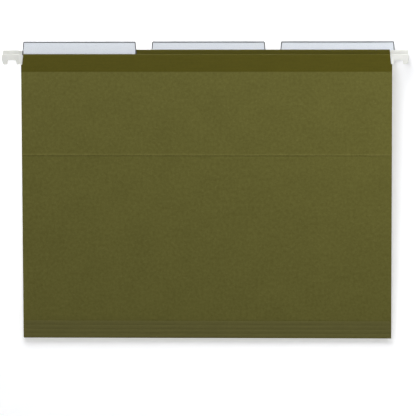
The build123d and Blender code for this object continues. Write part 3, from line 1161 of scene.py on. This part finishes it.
@dataclass
class IndexTab:
    """A clear tab on the back flap: a folded sleeve, a tongue below it and two feet through the hem."""

    name: str
    centre: float
    seat: Seat
    back: FlapSheet
    clear: Sequence[Material]      # of the sheet, and the painted shade of its edges
    paper: Material
    length: float = 90.9 * MM
    flare: float = 1.0 * MM               # how much longer each end is at the foot
    rise: float = 6.7 * MM                # above the flap's top
    overlap: float = 5.1 * MM             # below it
    wall: float = 0.35 * MM
    gap: float = 0.05 * MM                # off the flap and off the insert
    insert: float = 0.25 * MM             # thickness
    insert_margin: float = 0.3 * MM       # at each end
    tongue_half: float = 34.0 * MM
    tongue_drop: float = 14.7 * MM
    tongue_radius: float = 1.5 * MM
    corner_radius: float = 1.0 * MM
    rim: float = 0.7 * MM                 # width of the painted shade at each end
    crest: float = 0.2 * MM               # and of the painted shade along the fold
    slot_depth: float = 12.5 * MM
    slot_clearance: float = 0.15 * MM
    foot_spread: float = 48.0 * MM
    foot_width: float = 8.0 * MM
    foot_height: float = 1.2 * MM
    foot_drop: float = 2.0 * MM           # of a foot's turned-down end
    spacing: float = 2.0 * MM
    columns: int = 24
    fold_steps: int = 8

    def __post_init__(self) -> None:
        """Works out the tab's place on the flap, the faces that it lies on and where its feet are."""
        sizes = self.back.sizes
        self.face = sizes.outer_face if self.seat is Seat.OUTSIDE else sizes.hem_face - sizes.tape
        self.far_face = -sizes.thickness if self.seat is Seat.OUTSIDE else sizes.outer_face
        self.top = self.back.top
        self.place = self.back.place @ Matrix.Translation((self.centre, 0.0, 0.0))
        self.foot_places = [side * self.foot_spread / 2 for side in SIDES]

    def out(self, depth: float) -> float:
        """Turns a distance off the face into one out from the sheet's inner face."""
        return self.face + self.seat.value * depth

    def slots(self) -> list[Opening]:
        """Gives the slots for the feet.

        Returns:
            Low and high X, then low and high height, of each.
        """
        half = self.foot_width / 2 + self.slot_clearance
        rise = self.foot_height / 2 + self.slot_clearance
        middle = self.top - self.slot_depth
        places = [self.centre + x for x in self.foot_places]
        return [(x - half, x + half, middle - rise, middle + rise) for x in places]

    def build(self) -> None:
        """Builds the clear sheet, folded over the insert, with its tongue and feet, and the insert."""
        wall, gap = self.wall, self.gap
        near = gap + wall / 2
        far = near + wall + 2 * gap + self.insert
        low, high = self.top - self.overlap, self.top + self.rise
        tongue_foot = self.top - self.tongue_drop
        fold = high - (far - near) / 2 - wall / 2
        strip = Strip(self.out(near), tongue_foot)
        strip.line_to(self.out(near), fold, self.spacing)
        strip.turn(self.out((near + far) / 2), fold, -self.seat.value * math.pi, self.fold_steps)
        strip.line_to(self.out(far), low + wall / 2, self.spacing)
        strip.line_to(self.out(near + wall / 2), low + wall / 2, self.spacing)
        half_top = self.length / 2
        half_foot = half_top + self.flare
        strip.draw_out(half_foot, self.columns)
        strip.trim_ends(low, half_foot, high, half_top)
        for side in SIDES:
            strip.cut((side * self.tongue_half, 0.0, 0.0), (1.0, 0.0, 0.0))
            lean = Vector((side * (high - low), 0.0, self.flare)).normalized()
            line = Vector((side * (half_foot - self.rim), 0.0, low))
            strip.cut(line, lean, lambda m: m.z > low)
            # painted shade: the band at each end gets the grey edge material
            strip.dress(1, lambda m, a=line, n=lean: m.z > low and (m - a).dot(n) > 0.0)
            strip.round_corner(side * half_top, high, self.corner_radius, True)
        strip.remove(lambda m: m.z < low and abs(m.x) > self.tongue_half)
        for side in SIDES:
            strip.round_corner(side * self.tongue_half, tongue_foot, self.tongue_radius, False)
        strip.cut((0.0, 0.0, fold - self.crest), (0.0, 0.0, 1.0))
        # painted shade: the crest of the fold gets the grey edge material
        strip.dress(1, lambda m: m.z > fold - self.crest)
        piece = strip.finish(f"{self.name}_clear_tab", self.place, wall, self.clear)
        self.add_feet(piece.data)
        declare(piece, "back", [f"{self.name}_tab"], "clear tab with its tongue and feet")
        self.build_insert((near + far) / 2, low + wall + gap, high - wall - gap)

    def add_feet(self, data: bpy.types.Mesh) -> None:
        """Adds the feet, each a stub through a slot with an end that hangs behind it.

        Args:
            data: The tab's mesh.
        """
        mesh = bmesh.new()
        mesh.from_mesh(data)
        behind = self.seat.value * (self.far_face - self.face) - self.gap
        middle = self.top - self.slot_depth
        ahead = self.gap + self.wall / 2
        stub = (behind - self.wall / 2, ahead, middle - self.foot_height / 2)
        end = (behind - self.wall, behind, middle - self.foot_height / 2 - self.foot_drop)
        high = middle + self.foot_height / 2
        for x, (near, far, low) in product(self.foot_places, (stub, end)):
            centre = (x, self.out((near + far) / 2), (low + high) / 2)
            corners = add_block(mesh, centre, (self.foot_width, far - near, high - low))
            bmesh.ops.transform(mesh, matrix=self.place, verts=corners)
        mesh.to_mesh(data)
        mesh.free()

    def build_insert(self, depth: float, low: float, high: float) -> None:
        """Builds the paper insert, which slides out of the tab's end.

        Args:
            depth: Distance of its middle off the face.
            low: Height of its lower edge.
            high: Height of its upper edge.
        """
        half = self.length / 2 - self.insert_margin
        strip = Strip(self.out(depth), low)
        strip.line_to(self.out(depth), high, self.spacing)
        strip.draw_out(half, self.columns)
        for side in SIDES:
            strip.round_corner(side * half, high, self.corner_radius, True)
            strip.round_corner(side * half, low, self.corner_radius, False)
        piece = strip.finish(f"{self.name}_paper_insert", self.place, self.insert, [self.paper])
        declare(piece, f"{self.name}_label", [f"{self.name}_insert"], "blank paper insert")


@dataclass(frozen=True)
class Lamp:
    """A soft lamp, as strong as its share of the plain light level asks for."""

    name: str
    place: Triple
    aim: Triple
    size: float
    share: float
    mirrored: bool = True

    def hang(self) -> None:
        """Puts the lamp up, out of the camera's sight and, where it isn't mirrored, out of reflections."""
        way = Vector(self.aim) - Vector(self.place)
        slant = abs(way.normalized().y)
        data = bpy.data.lights.new(self.name, "AREA")
        data.shape = "DISK"
        data.size = self.size
        data.energy = self.share * math.pi**2 * way.length_squared / slant
        lamp = bpy.data.objects.new(self.name, data)
        lamp.location = self.place
        lamp.rotation_euler = way.to_track_quat("-Z", "Y").to_euler()
        lamp.visible_camera = False
        lamp.visible_glossy = self.mirrored
        bpy.context.scene.collection.objects.link(lamp)


@dataclass
class Studio:
    """White backdrop and pale floor, soft lamps, and the camera at the photograph's angle."""

    wall_y: float = 0.0055
    wall_half: float = 2.5
    floor_z: float = -0.5
    floor_half: float = 4.5
    wall_grey: Colour = (0.937, 0.945, 0.965)
    wall_glow: float = 0.40
    glow_left: float = 0.27               # added at the upper left, to even out the lamps
    glow_right: float = -0.23             # and at the upper right
    glow_foot: float = -0.24              # height from which they grow
    glow_reach: float = 0.16
    floor_grey: Colour = (0.7, 0.7, 0.7)
    floor_glow: float = 0.45
    grain_scale: float = 40.0
    grain: float = 0.01
    fill: float = 0.12                    # the world's light
    lens: float = 290.86
    sensor: float = 36.0
    distance: float = 2.7198
    elevation: float = 3.841
    azimuth: float = 2.0
    roll: float = -0.0615
    aim: Triple = (0.00207, 0.0, -0.12310)
    lamps: Sequence[Lamp] = (
        Lamp("key", (-0.14, -0.57, 0.515), (0.0, 0.0, -0.115), 0.62, 0.55),
        Lamp("near", (0.29, -0.26, -0.02), (0.12, 0.0, -0.05), 0.13, 0.268, mirrored=False),
        Lamp("behind", (0.5, 1.5, 0.9), (0.0, 0.0, -0.115), 0.9, 0.55),
    )

    def build(self) -> None:
        """Builds the stage, the lamps, the world and the camera."""
        upright = Matrix.Rotation(math.pi / 2, 4, "X")
        wall = Matrix.Translation((0.0, self.wall_y, self.floor_z + self.wall_half)) @ upright
        changes = (self.glow_left, self.glow_right)
        white = self.pale("backdrop", self.wall_grey, self.wall_glow, changes)
        self.build_stage("backdrop", self.wall_half, wall, white)
        floor = Matrix.Translation((0.0, 0.0, self.floor_z))
        grey = self.pale("floor", self.floor_grey, self.floor_glow)
        self.build_stage("floor", self.floor_half, floor, grey)
        for lamp in self.lamps:
            lamp.hang()
        self.build_world()
        self.place_camera()
        bpy.context.scene.view_settings.view_transform = "Standard"

    @staticmethod
    def build_stage(name: str, half: float, place: Matrix, material: Material) -> None:
        """Builds a square of the stage.

        Args:
            name: Its name.
            half: Half its side.
            place: From a flat square at the origin to its place.
            material: Its material.
        """
        mesh = bmesh.new()
        bmesh.ops.create_grid(mesh, x_segments=1, y_segments=1, size=half, matrix=place)
        make_piece(name, mesh, [material])

    @staticmethod
    def seen(graph: Graph) -> Socket:
        """Finds the rays that show the stage: the camera's, and those that metal and glass send on.

        Args:
            graph: The graph of the material or the world.

        Returns:
            One for those rays, and nought for the rest.
        """
        rays = graph.add("ShaderNodeLightPath").outputs
        mirrored = graph.maths("MAXIMUM", rays["Is Glossy Ray"], rays["Is Transmission Ray"])
        return graph.maths("MAXIMUM", rays["Is Camera Ray"], mirrored)

    def pale(
        self, name: str, grey: Colour, glow: float, changes: tuple[float, float] | None = None
    ) -> Material:
        """Makes a pale matt surface that keeps a shadow, glows only where it is seen, and has one side.

        Args:
            name: Name of the material.
            grey: Its colour.
            glow: Strength of its glow.
            changes: For the backdrop, what its upper left and upper right add to the glow, to even out
                what the lamps leave. It also lets all light through that doesn't show it.

        Returns:
            The material.
        """
        material = bpy.data.materials.new(name)
        material.use_nodes = True
        graph = Graph(material.node_tree)
        place, seen = graph.place(), self.seen(graph)
        shades = (tuple(part * (1.0 + sign * self.grain) for part in grey) for sign in SIDES)
        tone = graph.mix(graph.noise(place, self.grain_scale, detail=2.0), *shades)
        share = graph.maths("SUBTRACT", 1.0, graph.add("ShaderNodeNewGeometry").outputs["Backfacing"])
        strength: Source = glow
        if changes is not None:
            rise = graph.span(graph.part(place, 2), self.glow_foot, 0.0)
            change = graph.span(graph.part(place, 0), -self.glow_reach, self.glow_reach, *changes)
            strength = graph.maths("MULTIPLY_ADD", rise, change, glow)
            share = graph.maths("MULTIPLY", seen, share)
        matt = graph.add("ShaderNodeBsdfDiffuse", {"Color": tone}).outputs[0]
        light = graph.add("ShaderNodeEmission", {"Strength": graph.maths("MULTIPLY", seen, strength)})
        shown = graph.add("ShaderNodeAddShader", {0: matt, 1: light.outputs[0]}).outputs[0]
        clear = graph.add("ShaderNodeBsdfTransparent").outputs[0]
        either = graph.add("ShaderNodeMixShader", {0: share, 1: clear, 2: shown}).outputs[0]
        graph.add("ShaderNodeOutputMaterial", {"Surface": either})
        return material

    def build_world(self) -> None:
        """Builds the world: white where it is seen, and a soft even light on everything else."""
        world = bpy.data.worlds.new("studio")
        world.use_nodes = True
        graph = Graph(world.node_tree)
        strength = graph.span(self.seen(graph), 0.0, 1.0, self.fill, 1.0)
        light = graph.add("ShaderNodeBackground", {"Color": (1.0, 1.0, 1.0, 1.0), "Strength": strength})
        graph.add("ShaderNodeOutputWorld", {"Surface": light.outputs[0]})
        bpy.context.scene.world = world

    def place_camera(self) -> None:
        """Places the camera at the photograph's viewing angle."""
        turn, rise = math.radians(self.azimuth), math.radians(self.elevation)
        back = Vector((math.sin(turn) * math.cos(rise), -math.cos(turn) * math.cos(rise), math.sin(rise)))
        data = bpy.data.cameras.new("camera")
        data.lens = self.lens
        data.sensor_width = self.sensor
        camera = bpy.data.objects.new("camera", data)
        camera.location = Vector(self.aim) + back * self.distance
        level = (-back).to_track_quat("-Z", "Y")
        camera.rotation_mode = "QUATERNION"
        camera.rotation_quaternion = level @ Quaternion((0.0, 0.0, 1.0), math.radians(self.roll))
        bpy.context.scene.collection.objects.link(camera)
        bpy.context.scene.camera = camera


def main() -> None:
    """Builds and dresses the folder, piece by piece, and sets the studio up."""
    logging.basicConfig(level=logging.INFO, format="%(message)s")
    sizes = SheetSizes()
    width = sizes.half_width
    outside = PaperFinish(
        "olive_paper", (0.144, 0.135, 0.0322), (0.106, 0.099, 0.0223), (0.17, 0.155, 0.045),
        (0.22, 0.19, 0.07), width, folds=[*sizes.scores, sizes.crease_height],
    )
    inside = PaperFinish(
        "kraft_paper", (0.31, 0.19, 0.042), (0.26, 0.155, 0.03), (0.36, 0.24, 0.08),
        (0.34, 0.22, 0.07), width,
    )
    cut_edge = PaperFinish(
        "paper_cut_edge", (0.26, 0.19, 0.07), (0.2, 0.14, 0.045), (0.3, 0.22, 0.1),
        (0.3, 0.22, 0.1), width,
    )
    top_tape = TapeFinish(
        "top_tape", (0.091, 0.0805, 0.0086), (0.069, 0.0615, 0.0058), (0.14, 0.12, 0.03), width
    )
    bottom_tape = TapeFinish(
        "bottom_tape", (0.133, 0.123, 0.0370), (0.104, 0.096, 0.0280), (0.17, 0.15, 0.06), width
    )
    label = PaperFinish(
        "insert_card", (0.83, 0.87, 0.93), (0.80, 0.84, 0.90), (0.72, 0.75, 0.80), (0.6, 0.63, 0.67),
        IndexTab.length / 2 - IndexTab.insert_margin, rub_reach=0.5 * MM, relief=0.02 * MM,
    )
    papers = [finish.make() for finish in (outside, inside, cut_edge)]
    tapes = [finish.make() for finish in (top_tape, bottom_tape)]
    clear = [finish.make() for finish in (ClearFinish(), ClearEdgePaintedShade())]
    card, hook = label.make(), HookFinish().make()
    flaps = [FlapSheet(flap, sizes, papers) for flap in Flap]
    back = flaps[0]
    places = {"left": (-102.8, Seat.INSIDE), "centre": (1.3, Seat.OUTSIDE), "right": (105.4, Seat.OUTSIDE)}
    tabs = [IndexTab(name, x * MM, side, back, clear, card) for name, (x, side) in places.items()]
    back.slots = [slot for tab in tabs for slot in tab.slots()]
    for flap in flaps:
        flap.build()
    for flap in flaps:
        FlapTape(flap, *tapes).build()
    HangingRods(SteelFinish().make()).dress()
    for flap in flaps:
        RailHooks(flap, hook).build()
    for tab in tabs:
        tab.build()
    Studio().build()


if __name__ == "__main__":
    main()
